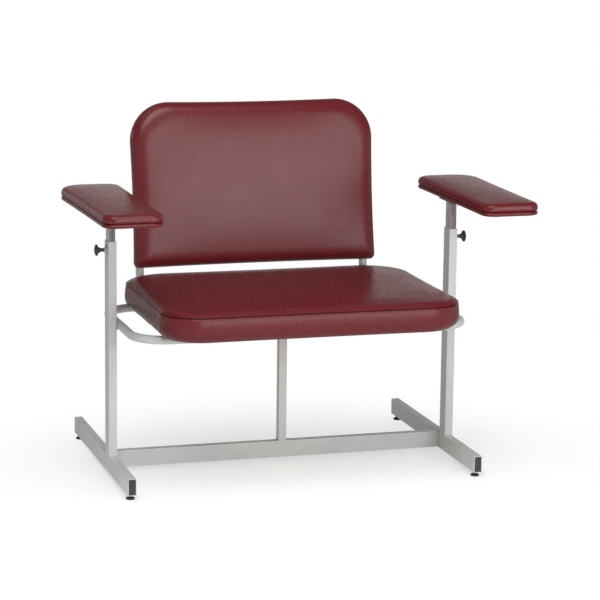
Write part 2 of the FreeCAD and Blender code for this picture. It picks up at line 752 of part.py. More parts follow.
def round_plug():
    """Plug with a lip for an upright's end, along -Z, its lip standing above z = 0."""
    plug_radius = upright_tube / 2 - upright_wall - plug_gap
    body = Part.makeCylinder(plug_radius, plug_depth, Vector(0, 0, -plug_depth))
    hollow = Part.makeCylinder(plug_radius - plug_wall, plug_depth - plug_wall,
                               Vector(0, 0, -plug_depth))
    lip = Part.makeCylinder(upright_tube / 2, plug_lip)
    lip = lip.makeFillet(plug_lip / 2, [lip.Edges[0]])
    return body.cut(hollow).fuse(lip)


upright_plugs = []
for side, sign in sides.items():
    top_plug = round_plug()
    top_plug.rotate(origin, x_axis, -back_lean)
    top_plug.translate(upright_top + Vector(sign * upright_spacing / 2, 0, 0))
    leg_plug = round_plug()
    leg_plug.rotate(origin, x_axis, quarter_turn)
    leg_plug.translate(leg_front + Vector(sign * upright_spacing / 2, 0, 0))
    upright_plugs.append(top_plug)
    upright_plugs.append(leg_plug)
export("upright_plugs", Part.makeCompound(upright_plugs))
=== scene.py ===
import json
import math

import bpy
import numpy as np
from mathutils import Matrix, Vector
from mathutils.kdtree import KDTree


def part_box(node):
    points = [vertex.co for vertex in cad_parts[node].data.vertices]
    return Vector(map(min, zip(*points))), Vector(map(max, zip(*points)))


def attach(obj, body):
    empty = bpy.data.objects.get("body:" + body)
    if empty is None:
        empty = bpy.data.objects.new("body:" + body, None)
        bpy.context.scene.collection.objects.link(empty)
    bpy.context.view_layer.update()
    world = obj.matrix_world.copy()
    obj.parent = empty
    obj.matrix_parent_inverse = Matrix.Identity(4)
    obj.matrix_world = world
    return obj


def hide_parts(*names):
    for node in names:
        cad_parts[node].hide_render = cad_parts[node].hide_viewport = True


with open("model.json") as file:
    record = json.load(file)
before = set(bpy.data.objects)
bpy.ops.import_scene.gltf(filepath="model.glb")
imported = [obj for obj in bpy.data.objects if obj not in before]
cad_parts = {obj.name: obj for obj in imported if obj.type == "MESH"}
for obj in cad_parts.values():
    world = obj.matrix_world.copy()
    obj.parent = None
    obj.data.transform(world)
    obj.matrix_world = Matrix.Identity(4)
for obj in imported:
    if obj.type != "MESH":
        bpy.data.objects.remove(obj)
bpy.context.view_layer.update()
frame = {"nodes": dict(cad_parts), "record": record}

# Extra-wide phlebotomy chair: its finishes, upholstery and small hardware.
# Metres, +Z up, the sitter faces -Y. "Left" and "right" are seen from in front.

MM = 0.001
SIDES = {"left": -1, "right": 1}
POST_X = 530 * MM
POST_PLANE_Y = -22.5 * MM
# Room between a board and its cushion's pocket
FIT_GAP = 0.3 * MM
# Height of the weld beads above and below the ring's middle, in the nooks where it meets the posts
NOOK_HEIGHT = 9.6 * MM
# Distance from a screw's middle to the edge of its node's box: its head's radius
SCREW_HEAD = 5 * MM
# Heights of the cover's turned-in edge below and above its board's underside
HEM_LOW, HEM_HIGH = -0.7 * MM, 0.2 * MM

# How far up the roll the seam's own rings reach, in widths of the seam
SEAM_FIELD = 1.9

# Steps along each soft piece's outline: in half a corner, across the chair, and along its depth or height
SEAT_STEPS = {"arc": 14, "across": 60, "along": 38}
BACK_STEPS = {"arc": 12, "across": 60, "along": 38}
ARM_STEPS = {"arc": 7, "across": 18, "along": 64}

# Camera that took the picture
CAMERA_PLACE = Vector((-2.028863, -6.957127, 1.928868))
CAMERA_AZIMUTH = math.radians(16.7035)
CAMERA_TILT = math.radians(11.0869)
CAMERA_ROLL = math.radians(0.6872)
FOCAL_SHARE = 2446.66 / 600
SENSOR_WIDTH = 36.0

# How the upholstery swells: cloth settings, and the frames that it is given
SWELL = {"quality": 6, "mass": 0.3, "tension_stiffness": 30, "compression_stiffness": 30,
         "shear_stiffness": 12, "bending_stiffness": 4, "tension_damping": 12, "compression_damping": 12,
         "bending_damping": 2, "air_damping": 4, "use_pressure": True, "uniform_pressure_force": 2}
SWELL_FRAMES = 10


# Outlines and soft forms

def new_piece(name, points, faces, edges=()):
    """Object with its own mesh, in the scene."""
    mesh = bpy.data.meshes.new(name)
    mesh.from_pydata([tuple(point) for point in points], list(edges), faces)
    piece = bpy.data.objects.new(name, mesh)
    bpy.context.scene.collection.objects.link(piece)
    return piece


def ring_size(form):
    """Number of points in each of the form's rings."""
    steps = form["steps"]
    return 2 * (steps["across"] + steps["along"]) + 8 * steps["arc"]


def inward_normals(corners):
    """Unit vectors that point in from each side of an outline."""
    normals = []
    for i in range(len(corners)):
        run = corners[(i + 1) % len(corners)] - corners[i]
        run = run / np.linalg.norm(run)
        normals.append(np.array((-run[1], run[0])))
    return normals


def outline_ring(form, inset, keep=1.0):
    """Points round the form's four corners, set in by inset, with round corners that shrink with it.

    They run counter-clockwise from the middle of the first corner. The share to keep makes the
    corners sharper still.
    """
    corners = np.array(form["corners"])
    steps = form["steps"]
    count = len(corners)
    reach = min(np.ptp(corners[:, 0]), np.ptp(corners[:, 1])) / 2
    left_share = 1 - inset / reach
    radii = [radius * keep * left_share for radius in form["radii"]]
    drawn_in = form["drawn_in"] * left_share
    inward = inward_normals(corners)
    arcs = []
    for i in range(count):
        before, after = inward[i - 1], inward[i]
        cosine = float(before @ after)
        corner = corners[i] + (before + after) * inset / (1 + cosine)
        centre = corner + (before + after) * radii[i] / (1 + cosine)
        arcs.append((centre, math.atan2(-before[1], -before[0]), math.acos(cosine)))

    def on_arc(i, share):
        centre, start, turn = arcs[i]
        angle = start + turn * share
        return centre + radii[i] * np.array((math.cos(angle), math.sin(angle)))

    points = []
    for i in range(count):
        following = (i + 1) % count
        side_steps = steps["across"] if i % 2 == 0 else steps["along"]
        for k in range(steps["arc"]):
            points.append(on_arc(i, 0.5 + 0.5 * k / steps["arc"]))
        start, end = on_arc(i, 1), on_arc(following, 0)
        for k in range(side_steps):
            share = k / side_steps
            draw = drawn_in * 4 * share * (1 - share)
            points.append(start + (end - start) * share + inward[i] * draw)
        for k in range(steps["arc"]):
            points.append(on_arc(following, 0.5 * k / steps["arc"]))
    return np.array(points)


def crown_share(form, points, inset):
    """How far up the crown points lie, from 0 at the roll's inner edge to 1 in the middle."""
    corners = np.array(form["corners"])
    front, right, rear, left = [np.maximum((points - corner) @ normal - inset, 0)
                                for corner, normal in zip(corners, inward_normals(corners))]
    across = 4 * left * right / np.maximum(left + right, 1e-6) ** 2
    along = 4 * front * rear / np.maximum(front + rear, 1e-6) ** 2
    return (across * along) ** 0.85


def cushion_rings(form):
    """Rings of (inset, height, roll share, seam distance) from the base up to the roll's inner edge."""
    side, tuck, bulge = form["side"], form["tuck"], form["bulge_share"]
    quarter = math.pi / 2
    length = math.hypot(form["roll"], form["roll_rise"])

    def on_roll(angle, distance):
        turned = 1 - math.cos(angle)
        inset = form["seam_draw"] + form["roll"] * turned
        return inset, side + form["roll_rise"] * math.sin(angle), turned, distance

    rings = []
    for height_share in (0.015, 0.05, 0.11, 0.19, 0.29, 0.4, 0.5, 0.6, 0.7, 0.78, 0.85):
        under = max(bulge - height_share, 0) / bulge
        over = max(height_share - bulge, 0) / (1 - bulge)
        inset = tuck * under ** 2.6 + form["seam_draw"] * over ** 2
        height = side * height_share
        rings.append((inset, height, 0, height - side))
    for distance_share in (-2.2, -1.7, -1.3, -1.0, -0.7, -0.4, -0.15, 0.15):
        distance = form["seam_width"] * distance_share
        over = (1 + distance / side - bulge) / (1 - bulge)
        rings.append((form["seam_draw"] * min(over, 1) ** 2, side + distance, 0, distance))
    for distance_share in (0.4, 0.7, 1.0, 1.4, SEAM_FIELD):
        distance = form["seam_width"] * distance_share
        last_angle = distance / length * quarter
        rings.append(on_roll(last_angle, distance))
    for step in range(1, 8):
        angle = last_angle + (quarter - last_angle) * step / 7
        rings.append(on_roll(angle, length * angle / quarter))
    return rings


def seam_dip(form, distance):
    """How far the surface is drawn in near the seam, less the lips that stand proud beside it."""
    near = distance / form["seam_width"]
    groove = math.exp(-(near / 0.45) ** 2)
    upper_lip = math.exp(-((near - 0.95) / 0.4) ** 2)
    lower_lip = math.exp(-((near + 1.1) / 0.5) ** 2)
    return form["groove"] * (groove - 0.6 * upper_lip - 0.16 * lower_lip)


def pucker(form, distance):
    """Gathers in the cover beside the seam at the front corners, of a broad wave and a fine one."""
    arc = form["steps"]["arc"]
    size = ring_size(form)
    side_turn = arc + form["steps"]["across"] + arc
    fade = math.exp(-(distance / form["pucker_reach"]) ** 2)
    amounts = np.zeros(size)
    for corner, centre in enumerate((0, side_turn)):
        for k in range(-arc, arc + 1):
            share = k / arc
            window = math.cos(share * math.pi / 2) ** 0.5
            wave = math.sin(share * 13.0 + 1.3 * corner) + 0.6 * math.sin(share * 23.0 + 2.1 + corner)
            amounts[(centre + k) % size] = form["pucker"] * fade * window * wave
    return amounts


def between_rings(first, second, size):
    """Faces that join two neighbouring rings of the same size."""
    return [(first + i, first + (i + 1) % size, second + (i + 1) % size, second + i)
            for i in range(size)]


def filled_grid(form, ring, ring_start, first_new):
    """Inner points and faces that fill the last ring with rows from side to side."""
    arc = form["steps"]["arc"]
    across = form["steps"]["across"] + 2 * arc
    along = form["steps"]["along"] + 2 * arc
    size = len(ring)
    index = np.zeros((along + 1, across + 1), int)
    sideways, upward = np.arange(across + 1), np.arange(along + 1)
    index[0] = ring_start + sideways
    index[along] = ring_start + (2 * across + along - sideways) % size
    index[:, across] = ring_start + across + upward
    index[:, 0] = ring_start + (size - upward) % size
    near = ring[index[0] - ring_start]
    far = ring[index[along] - ring_start]
    left = ring[index[:, 0] - ring_start]
    right = ring[index[:, across] - ring_start]
    t = (np.arange(along + 1) / along)[:, None, None]
    s = (np.arange(across + 1) / across)[None, :, None]
    grid = (1 - t) * near + t * far + (1 - s) * left[:, None] + s * right[:, None]
    grid = grid - (1 - s) * (1 - t) * near[0] - s * (1 - t) * near[-1]
    grid = grid - (1 - s) * t * far[0] - s * t * far[-1]
    points = grid[1:-1, 1:-1].reshape(-1, 2)
    index[1:-1, 1:-1] = first_new + np.arange(len(points)).reshape(along - 1, across - 1)
    faces = np.stack((index[:-1, :-1], index[:-1, 1:], index[1:, 1:], index[1:, :-1]), axis=2)
    return points, [tuple(face) for face in faces.reshape(-1, 4).tolist()]


def ring_mesh(name, form, rings, top):
    """Closed mesh through rings of (outline, heights, seam share), its two ends filled with grids.

    The upper grid's heights come from top. Each vertex keeps how deep in the seam it lies, which sets the
    vinyl's painted seam shade.
    """
    size = len(rings[0][0])
    points = []
    faces = []
    shares = []
    for number, (outline, heights, seam_shade) in enumerate(rings):
        points.append(np.column_stack((outline, np.broadcast_to(heights, (size,)))))
        shares.append(np.full(size, seam_shade))
        if number:
            faces += between_rings((number - 1) * size, number * size, size)
    last = (len(rings) - 1) * size
    under, under_faces = filled_grid(form, rings[0][0], 0, len(rings) * size)
    points.append(np.column_stack((under, np.full(len(under), float(np.mean(rings[0][1]))))))
    faces += [face[::-1] for face in under_faces]
    inner, inner_faces = filled_grid(form, rings[-1][0], last, len(rings) * size + len(under))
    points.append(np.column_stack((inner, top(inner))))
    faces += inner_faces
    shares.append(np.zeros(len(under) + len(inner)))
    piece = new_piece(name, np.concatenate(points), faces)
    mesh = piece.data
    mesh.attributes.new("seam_shade", "FLOAT", "POINT")
    mesh.attributes["seam_shade"].data.foreach_set("value", np.concatenate(shares).astype(np.float32))
    mesh.polygons.foreach_set("use_smooth", [True] * len(mesh.polygons))
    mesh.update()
    return piece


def cushion_mesh(name, form):
    """Closed upholstered form: base with a pocket for its board, boxing, seam, roll and crown."""
    field = form["seam_draw"] + form["roll"]
    rise = form["crown"] - form["roll_rise"]
    full_height = form["side"] + form["roll_rise"]

    def top(points):
        return full_height + rise * crown_share(form, points, field)

    rings = []
    pocket = form["tuck"] + form["margin"]
    if form["pocket"] > 0:
        rings.append((outline_ring(form, pocket), form["pocket"] + FIT_GAP, 0))
    rings.append((outline_ring(form, pocket), 0, 0))
    rings.append((outline_ring(form, form["tuck"] + form["side"] * 0.02), 0, 0))
    for inset, height, share, distance in cushion_rings(form):
        dip = seam_dip(form, distance)
        outline = outline_ring(form, inset + dip * (1 - share))
        heights = height - dip * share + rise * crown_share(form, outline, field) * share
        centre = outline.mean(axis=0)
        outward = outline - centre
        outward = outward / np.linalg.norm(outward, axis=1, keepdims=True)
        outline = outline + outward * pucker(form, distance)[:, None]
        rings.append((outline, heights, math.exp(-(distance / form["seam_width"] / 0.3) ** 2)))
    for shoulder_share in (0.1, 0.22, 0.36, 0.52, 0.7, 0.86, 1.0):
        inset = field + form["shoulder"] * shoulder_share
        outline = outline_ring(form, inset, keep=1 - shoulder_share * 0.75)
        rings.append((outline, top(outline), 0))
    return ring_mesh(name, form, rings, top)


def wrapped_board(name, form):
    """Thin board with a round edge, wrapped in vinyl."""
    thickness = form["thickness"]
    field = outline_ring(form, form["edge"] + form["flat"])
    rings = [(field, 0, 0)]
    for step in range(11):
        angle = math.pi * step / 10
        outline = outline_ring(form, form["edge"] * (1 - math.sin(angle)))
        rings.append((outline, thickness / 2 * (1 - math.cos(angle)), 0))
    rings.append((field, thickness, 0))
    return ring_mesh(name, form, rings, lambda points: np.full(len(points), thickness))


def evened_out(rest, move, held, reach):
    """The cover's moves averaged over a reach, as on a tight cover, fading out near what holds it.

    Every fifth vertex is a source of the averages, and they are worked out 500 vertices at a time.
    """
    source_step, block_length = 5, 500
    nearest = KDTree(int(held.sum()))
    for number in np.flatnonzero(held):
        nearest.insert(rest[number], int(number))
    nearest.balance()
    away = np.array([nearest.find(point)[2] for point in rest])
    sources, source_moves = rest[::source_step], move[::source_step]
    even = np.empty_like(move)
    for start in range(0, len(rest), block_length):
        block = slice(start, start + block_length)
        square = ((rest[block, None, :] - sources[None, :, :]) ** 2).sum(axis=2)
        weight = np.exp(-square / (2 * reach * reach))
        even[block] = weight @ source_moves / weight.sum(axis=1, keepdims=True)
    return even * (1 - np.exp(-(away / (0.5 * reach)) ** 2))[:, None]


def simulate(piece, form):
    """Swells the cover between its seam and its base, then evens and caps its moves."""
    mesh = piece.data
    count = len(mesh.vertices)
    rest = np.empty(count * 3)
    mesh.vertices.foreach_get("co", rest)
    rest = rest.reshape(-1, 3)
    near_seam = np.abs(rest[:, 2] - form["side"]) < form["seam_width"] * SEAM_FIELD
    near_base = rest[:, 2] < form["side"] * 0.03
    pocket = np.abs(rest[:, 2] - form["pocket"] - FIT_GAP) < 1e-6
    pocket[:3 * ring_size(form)] = True
    held = near_seam | near_base | pocket
    sewn = piece.vertex_groups.new(name="sewn")
    for number in np.flatnonzero(held):
        sewn.add([int(number)], 1.0, "REPLACE")
    cloth = piece.modifiers.new("swell", "CLOTH")
    for label, setting in SWELL.items():
        setattr(cloth.settings, label, setting)
    cloth.settings.vertex_group_mass = "sewn"
    cloth.settings.effector_weights.gravity = 0
    cloth.collision_settings.use_collision = False
    cloth.point_cache.frame_start = 1
    cloth.point_cache.frame_end = SWELL_FRAMES
    for number in range(1, SWELL_FRAMES + 1):
        bpy.context.scene.frame_set(number)
    evaluated = piece.evaluated_get(bpy.context.evaluated_depsgraph_get())
    swollen = np.empty(count * 3)
    evaluated.data.vertices.foreach_get("co", swollen)
    move = evened_out(rest, swollen.reshape(-1, 3) - rest, held, form["evening"])
    length = np.linalg.norm(move, axis=1, keepdims=True)
    move = move * (form["cap"] * np.tanh(length / form["cap"]) / np.maximum(length, 1e-9))
    piece.modifiers.remove(cloth)
    piece.vertex_groups.clear()
    bpy.context.scene.frame_set(1)
    mesh.vertices.foreach_set("co", (rest + move).ravel())
    mesh.update()


def finish_cover(piece, form, node, body):
    """Places a covered piece, smooths it, and lets it stand for its node."""
    piece.data.transform(form["place"])
    smooth = piece.modifiers.new("smooth", "SUBSURF")
    smooth.levels = 1
    smooth.render_levels = 1
    piece.data.materials.append(FINISHES["vinyl"])
    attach(piece, body)
    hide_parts(node)


def finish_cushion(piece, form, node, body):
    """Simulates and places a cushion or pad."""
    simulate(piece, form)
    finish_cover(piece, form, node, body)


# Shader tools

def add(tree, kind, inputs=None, **settings):
    """A node with its settings, and its inputs given as values or as other nodes' sockets."""
    made = tree.nodes.new(kind)
    for key, value in settings.items():
        setattr(made, key, value)
    for key, value in (inputs or {}).items():
        if isinstance(value, bpy.types.NodeSocket):
            tree.links.new(value, made.inputs[key])
        else:
            made.inputs[key].default_value = value
    return made


def new_group(name, inputs, outputs):
    """Shader node group with named inputs and outputs, and the sockets that bring its inputs."""
    tree = bpy.data.node_groups.new(name, "ShaderNodeTree")
    for label, kind, value in inputs:
        socket = tree.interface.new_socket(label, in_out="INPUT", socket_type=kind)
        if value is not None:
            socket.default_value = value
    for label, kind in outputs:
        tree.interface.new_socket(label, in_out="OUTPUT", socket_type=kind)
    return tree, add(tree, "NodeGroupInput").outputs


def use_group(tree, group, inputs):
    """A placed group with its own values."""
    return add(tree, "ShaderNodeGroup", inputs, node_tree=group)


def maths(tree, operation, first, second=0.0, third=0.0):
    """The result of a sum or another operation."""
    return add(tree, "ShaderNodeMath", {0: first, 1: second, 2: third}, operation=operation).outputs[0]


def ranged(tree, value, low, high, to_low=0.0, to_high=1.0):
    """A value's range mapped smoothly to another."""
    made = add(tree, "ShaderNodeMapRange",
               {"Value": value, "From Min": low, "From Max": high, "To Min": to_low, "To Max": to_high},
               interpolation_type="SMOOTHSTEP")
    return made.outputs["Result"]


def by_mask(tree, mask, without, within):
    """A value that goes from one to another as a mask goes from 0 to 1."""
    return ranged(tree, mask, 0.0, 1.0, without, within)


def mixed(tree, factor, first, second, blend="MIX"):
    """Two colours mixed, by a factor from 0, all the first, to 1."""
    made = add(tree, "ShaderNodeMix", {0: factor, 6: first, 7: second}, data_type="RGBA", blend_type=blend)
    return made.outputs[2]


def shade_of(tone, share):
    """A darker or lighter shade of a tone."""
    return tuple(share * channel for channel in tone[:3]) + (1,)


def facing_along(tree, axis):
    """How squarely a surface faces along an axis, from 0 to 1."""
    normal = add(tree, "ShaderNodeNewGeometry").outputs["Normal"]
    parts = add(tree, "ShaderNodeSeparateXYZ", {"Vector": normal})
    return maths(tree, "ABSOLUTE", parts.outputs[axis])


def noise_of(tree, vector, scale, detail=3.0, roughness=0.5):
    """Noise of a scale per metre."""
    made = add(tree, "ShaderNodeTexNoise",
               {"Vector": vector, "Scale": scale, "Detail": detail, "Roughness": roughness})
    return made.outputs["Fac"]


def grain_group():
    """Pressed vinyl grain: small soft pebbles with creases between them."""
    tree, source = new_group(
        "pressed grain",
        [("Vector", "NodeSocketVector", None), ("Pebbles per Metre", "NodeSocketFloat", 900.0),
         ("Unevenness", "NodeSocketFloat", 0.35)],
        [("Height", "NodeSocketFloat"), ("Crease", "NodeSocketFloat")])
    bend = add(tree, "ShaderNodeTexNoise", {"Vector": source["Vector"], "Scale": 160.0, "Detail": 2.0})
    shift = add(tree, "ShaderNodeVectorMath", {0: bend.outputs["Color"], "Scale": 0.004}, operation="SCALE")
    bent = add(tree, "ShaderNodeVectorMath", {0: source["Vector"], 1: shift.outputs[0]}, operation="ADD")
    cells = add(tree, "ShaderNodeTexVoronoi",
                {"Vector": bent.outputs[0], "Scale": source["Pebbles per Metre"]}, feature="F1")
    dome = ranged(tree, cells.outputs["Distance"], 0.15, 0.75, 1.0, 0.0)
    broad = noise_of(tree, source["Vector"], 420.0)
    height = maths(tree, "MULTIPLY_ADD", broad, source["Unevenness"], dome)
    crease = ranged(tree, cells.outputs["Distance"], 0.5, 0.8)
    add(tree, "NodeGroupOutput", {"Height": height, "Crease": crease})
    return tree


def handling_group():
    """Broad and fine patches where a surface has been touched and wiped."""
    tree, source = new_group(
        "handled patches",
        [("Vector", "NodeSocketVector", None), ("Patches per Metre", "NodeSocketFloat", 6.0)],
        [("Patch", "NodeSocketFloat"), ("Speck", "NodeSocketFloat")])
    broad = noise_of(tree, source["Vector"], source["Patches per Metre"], 5.0, 0.6)
    patch = ranged(tree, broad, 0.35, 0.68)
    fine = noise_of(tree, source["Vector"], 210.0, 4.0, 0.6)
    speck = ranged(tree, fine, 0.36, 0.66)
    add(tree, "NodeGroupOutput", {"Patch": patch, "Speck": speck})
    return tree


def edge_group():
    """Mask of the sharp edges of a piece, broken up as by wear."""
    tree, source = new_group(
        "worn edges",
        [("Vector", "NodeSocketVector", None), ("Break per Metre", "NodeSocketFloat", 90.0)],
        [("Mask", "NodeSocketFloat")])
    rounded = add(tree, "ShaderNodeBevel", {"Radius": 0.0012}, samples=4)
    flat = add(tree, "ShaderNodeNewGeometry")
    facing = add(tree, "ShaderNodeVectorMath", {0: rounded.outputs["Normal"], 1: flat.outputs["Normal"]},
                 operation="DOT_PRODUCT")
    edge = ranged(tree, facing.outputs["Value"], 0.995, 0.93)
    broken = ranged(tree, noise_of(tree, source["Vector"], source["Break per Metre"]), 0.5, 0.7)
    add(tree, "NodeGroupOutput", {"Mask": maths(tree, "MULTIPLY", edge, broken)})
    return tree


GRAIN = grain_group()
HANDLING = handling_group()
EDGES = edge_group()


def new_tree(kind, name):
    """A new material or world, and its node tree, empty."""
    made = kind.new(name)
    made.use_nodes = True
    made.node_tree.nodes.clear()
    return made, made.node_tree


def new_material(name, values=None):
    """Material with a principled shader of the given values, and the piece's own coordinates."""
    material, tree = new_tree(bpy.data.materials, name)
    place = add(tree, "ShaderNodeTexCoord").outputs["Object"]
    shader = add(tree, "ShaderNodeBsdfPrincipled", values)
    add(tree, "ShaderNodeOutputMaterial", {"Surface": shader.outputs[0]})
    return material, tree, place, shader


def bump(tree, shader, height, strength, distance):
    """Bump from a height, into the shader's normal."""
    made = add(tree, "ShaderNodeBump", {"Strength": strength, "Distance": distance, "Height": height})
    tree.links.new(made.outputs["Normal"], shader.inputs["Normal"])


def surface(tree, shader, tone, roughness):
    """A tone and a roughness that both change over the surface."""
    tree.links.new(tone, shader.inputs["Base Color"])
    tree.links.new(roughness, shader.inputs["Roughness"])


def handled(tree, place, patches):
    """Masks of a surface's broad and fine touched patches, with so many broad ones per metre."""
    touched = use_group(tree, HANDLING, {"Vector": place, "Patches per Metre": patches})
    return touched.outputs["Patch"], touched.outputs["Speck"]


def worn_mask(tree, place, breaks):
    """The worn edges of a piece, broken up so many times per metre."""
    return use_group(tree, EDGES, {"Vector": place, "Break per Metre": breaks}).outputs["Mask"]


def vinyl(name, deep, light, pebbles, roughness):
    """Burgundy upholstery vinyl with a pressed grain, with painted shade in its seams and in the grain's
    creases.
    """
    material, tree, place, shader = new_material(name, {"IOR": 1.34})
    grain = use_group(tree, GRAIN, {"Vector": place, "Pebbles per Metre": pebbles, "Unevenness": 0.4})
    patch, speck = handled(tree, place, 9.0)
    tone = mixed(tree, speck, deep, light)
    # Painted shade: the grain's creases are darkened a little.
    tone = mixed(tree, maths(tree, "MULTIPLY", grain.outputs["Crease"], 0.3), tone, shade_of(deep, 0.55))
    # Painted shade: the vinyl darkens to near-black along each seam, by how deep in it a vertex lies.
    seam = add(tree, "ShaderNodeAttribute", attribute_type="GEOMETRY", attribute_name="seam_shade")
    tone = mixed(tree, maths(tree, "MULTIPLY", seam.outputs["Fac"], 0.75), tone, shade_of(deep, 0.12))
    shine = by_mask(tree, patch, roughness + 0.01, roughness - 0.015)
    surface(tree, shader, tone, maths(tree, "MULTIPLY_ADD", speck, 0.07, shine))
    bump(tree, shader, grain.outputs["Height"], 0.17, 0.0003)
    return material


def frame_paint(name, tone, worn_tone):
    """Satin powder coat: fine orange peel, faint mottling and slightly worn edges."""
    material, tree, place, shader = new_material(name, {"Coat Weight": 0.35, "Coat Roughness": 0.16})
    patch, _ = handled(tree, place, 9.0)
    worn = worn_mask(tree, place, 70.0)
    shade = mixed(tree, patch, tone, shade_of(tone, 0.94))
    shade = mixed(tree, maths(tree, "MULTIPLY", worn, 0.5), shade, worn_tone)
    surface(tree, shader, shade, by_mask(tree, patch, 0.30, 0.38))
    bump(tree, shader, noise_of(tree, place, 900.0, 2.0), 0.12, 0.0002)
    return material


def chrome(name):
    """Plated stem: bright sides, and a painted dark reflection on its front and rear faces, streaked and
    rougher there.
    """
    material, tree, place, shader = new_material(name, {"Metallic": 1.0})
    stretched = add(tree, "ShaderNodeMapping", {"Vector": place, "Scale": (1.0, 1.0, 0.04)})
    streaks = noise_of(tree, stretched.outputs[0], 420.0, 4.0, 0.6)
    patch, _ = handled(tree, place, 14.0)
    # Painted reflection: the faces that look front and rear are darkened to a brownish near-black, broken up
    # by streaks.
    front_rear_facing = ranged(tree, facing_along(tree, "Y"), 0.75, 0.97)
    painted_dark_reflection = maths(tree, "MULTIPLY", front_rear_facing, ranged(tree, streaks, 0.3, 0.62, 1.0, 0.78))
    tone = mixed(tree, patch, (0.66, 0.65, 0.64, 1), (0.52, 0.50, 0.49, 1))
    tone = mixed(tree, painted_dark_reflection, tone, (0.060, 0.036, 0.034, 1))
    surface(tree, shader, tone, by_mask(tree, painted_dark_reflection, 0.12, 0.3))
    bump(tree, shader, streaks, 0.06, 0.0001)
    return material


def zinc(name):
    """Zinc-plated steel: dull, slightly mottled, darker in its hollows."""
    material, tree, place, shader = new_material(name, {"Metallic": 1.0})
    patch, _ = handled(tree, place, 60.0)
    worn = worn_mask(tree, place, 200.0)
    tone = mixed(tree, patch, (0.50, 0.50, 0.49, 1), (0.40, 0.40, 0.38, 1))
    tone = mixed(tree, worn, tone, (0.62, 0.62, 0.61, 1))
    surface(tree, shader, tone, by_mask(tree, patch, 0.3, 0.46))
    bump(tree, shader, noise_of(tree, place, 2600.0, 2.0), 0.1, 0.0001)
    return material


def moulded_plastic(name, tone, roughness):
    """Black moulded plastic with a fine spark-eroded texture and worn edges."""
    material, tree, place, shader = new_material(name)
    patch, _ = handled(tree, place, 40.0)
    worn = worn_mask(tree, place, 250.0)
    shade = mixed(tree, patch, tone, shade_of(tone, 1.4))
    shade = mixed(tree, maths(tree, "MULTIPLY", worn, 0.4), shade, (0.11, 0.11, 0.11, 1))
    surface(tree, shader, shade, by_mask(tree, patch, roughness, roughness + 0.1))
    bump(tree, shader, noise_of(tree, place, 3000.0, 2.0), 0.15, 0.0001)
    return material


def plywood(name):
    """Birch ply: long grain on the faces, glued layers in the edges."""
    layer_pair = 0.0034
    material, tree, place, shader = new_material(name, {"Roughness": 0.7})
    stretched = add(tree, "ShaderNodeMapping", {"Vector": place, "Scale": (1.0, 14.0, 14.0)})
    grain = noise_of(tree, stretched.outputs[0], 5.0, 6.0, 0.65)
    figure = ranged(tree, grain, 0.35, 0.7)
    tone = mixed(tree, figure, (0.52, 0.36, 0.20, 1), (0.36, 0.22, 0.11, 1))
    parts = add(tree, "ShaderNodeSeparateXYZ", {"Vector": place})
    layers = maths(tree, "FRACT", maths(tree, "MULTIPLY", parts.outputs["Z"], 1 / layer_pair))
    dark_layer = ranged(tree, layers, 0.45, 0.55, 0.0, 0.5)
    upright = ranged(tree, facing_along(tree, "Z"), 0.3, 0.6, 1.0, 0.0)
    tone = mixed(tree, maths(tree, "MULTIPLY", dark_layer, upright), tone, (0.25, 0.14, 0.07, 1))
    tree.links.new(tone, shader.inputs["Base Color"])
    bump(tree, shader, grain, 0.2, 0.0003)
    return material


FINISHES = {
    "vinyl": vinyl("seat vinyl", (0.092, 0.0086, 0.0112, 1), (0.120, 0.0120, 0.0154, 1), 850.0, 0.25),
    "frame_paint": frame_paint("satin frame paint", (0.465, 0.465, 0.46, 1), (0.58, 0.58, 0.57, 1)),
    "chrome": chrome("stem plating"),
    "bare_steel": zinc("zinc plate"),
    "black_plastic": moulded_plastic("moulded black plastic", (0.022, 0.022, 0.024, 1), 0.42),
    "plywood": plywood("birch ply"),
}


def dress_nodes():
    """Gives each node its finish from the record's slots."""
    for part in frame["record"]["subparts"]:
        node = frame["nodes"][part["node"]]
        node.data.materials.clear()
        node.data.materials.append(FINISHES[part["material_slot"]])


# Soft pieces

def rectangle(x0, x1, y0, y1):
    """Corners of a rectangle, counter-clockwise from its front left one."""
    return [(x0, y0), (x1, y0), (x1, y1), (x0, y1)]


def cushion_form(corners, radii, steps, sizes, place):
    """A soft piece's outline and place, with its sizes given in millimetres.

    side is the boxing's height, tuck how far its foot is drawn in, pocket the board's depth in it and
    margin the vinyl round the board, and drawn_in the dip of each side. The seam lies seam_draw in from
    the boxing's widest line, with the roll above it, and crown is the height from there to the middle.
    As the cover swells, its moves are averaged over evening, and cap is the most that it moves.
    """
    form = {"corners": corners, "radii": radii, "steps": steps, "place": place, "bulge_share": 0.5}
    form.update({label: size * MM for label, size in sizes.items()})
    return form


def seat_form():
    """The seat's cushion, up from its board's underside."""
    width, front, rear = 903 * MM, 393 * MM, 281 * MM
    corners = rectangle(-width / 2, width / 2, POST_PLANE_Y - front, POST_PLANE_Y + rear)
    sizes = {"drawn_in": 3, "side": 73, "tuck": 18, "margin": 5, "pocket": 12.7, "seam_draw": 4,
             "seam_width": 4, "groove": 3.4, "roll": 32, "roll_rise": 14, "crown": 18, "shoulder": 60,
             "pucker": 1.1, "pucker_reach": 16, "cap": 4, "evening": 40}
    place = Matrix.Translation((0, 0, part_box("seat_board")[0].z))
    return cushion_form(corners, (110 * MM, 110 * MM, 130 * MM, 130 * MM), SEAT_STEPS, sizes, place)


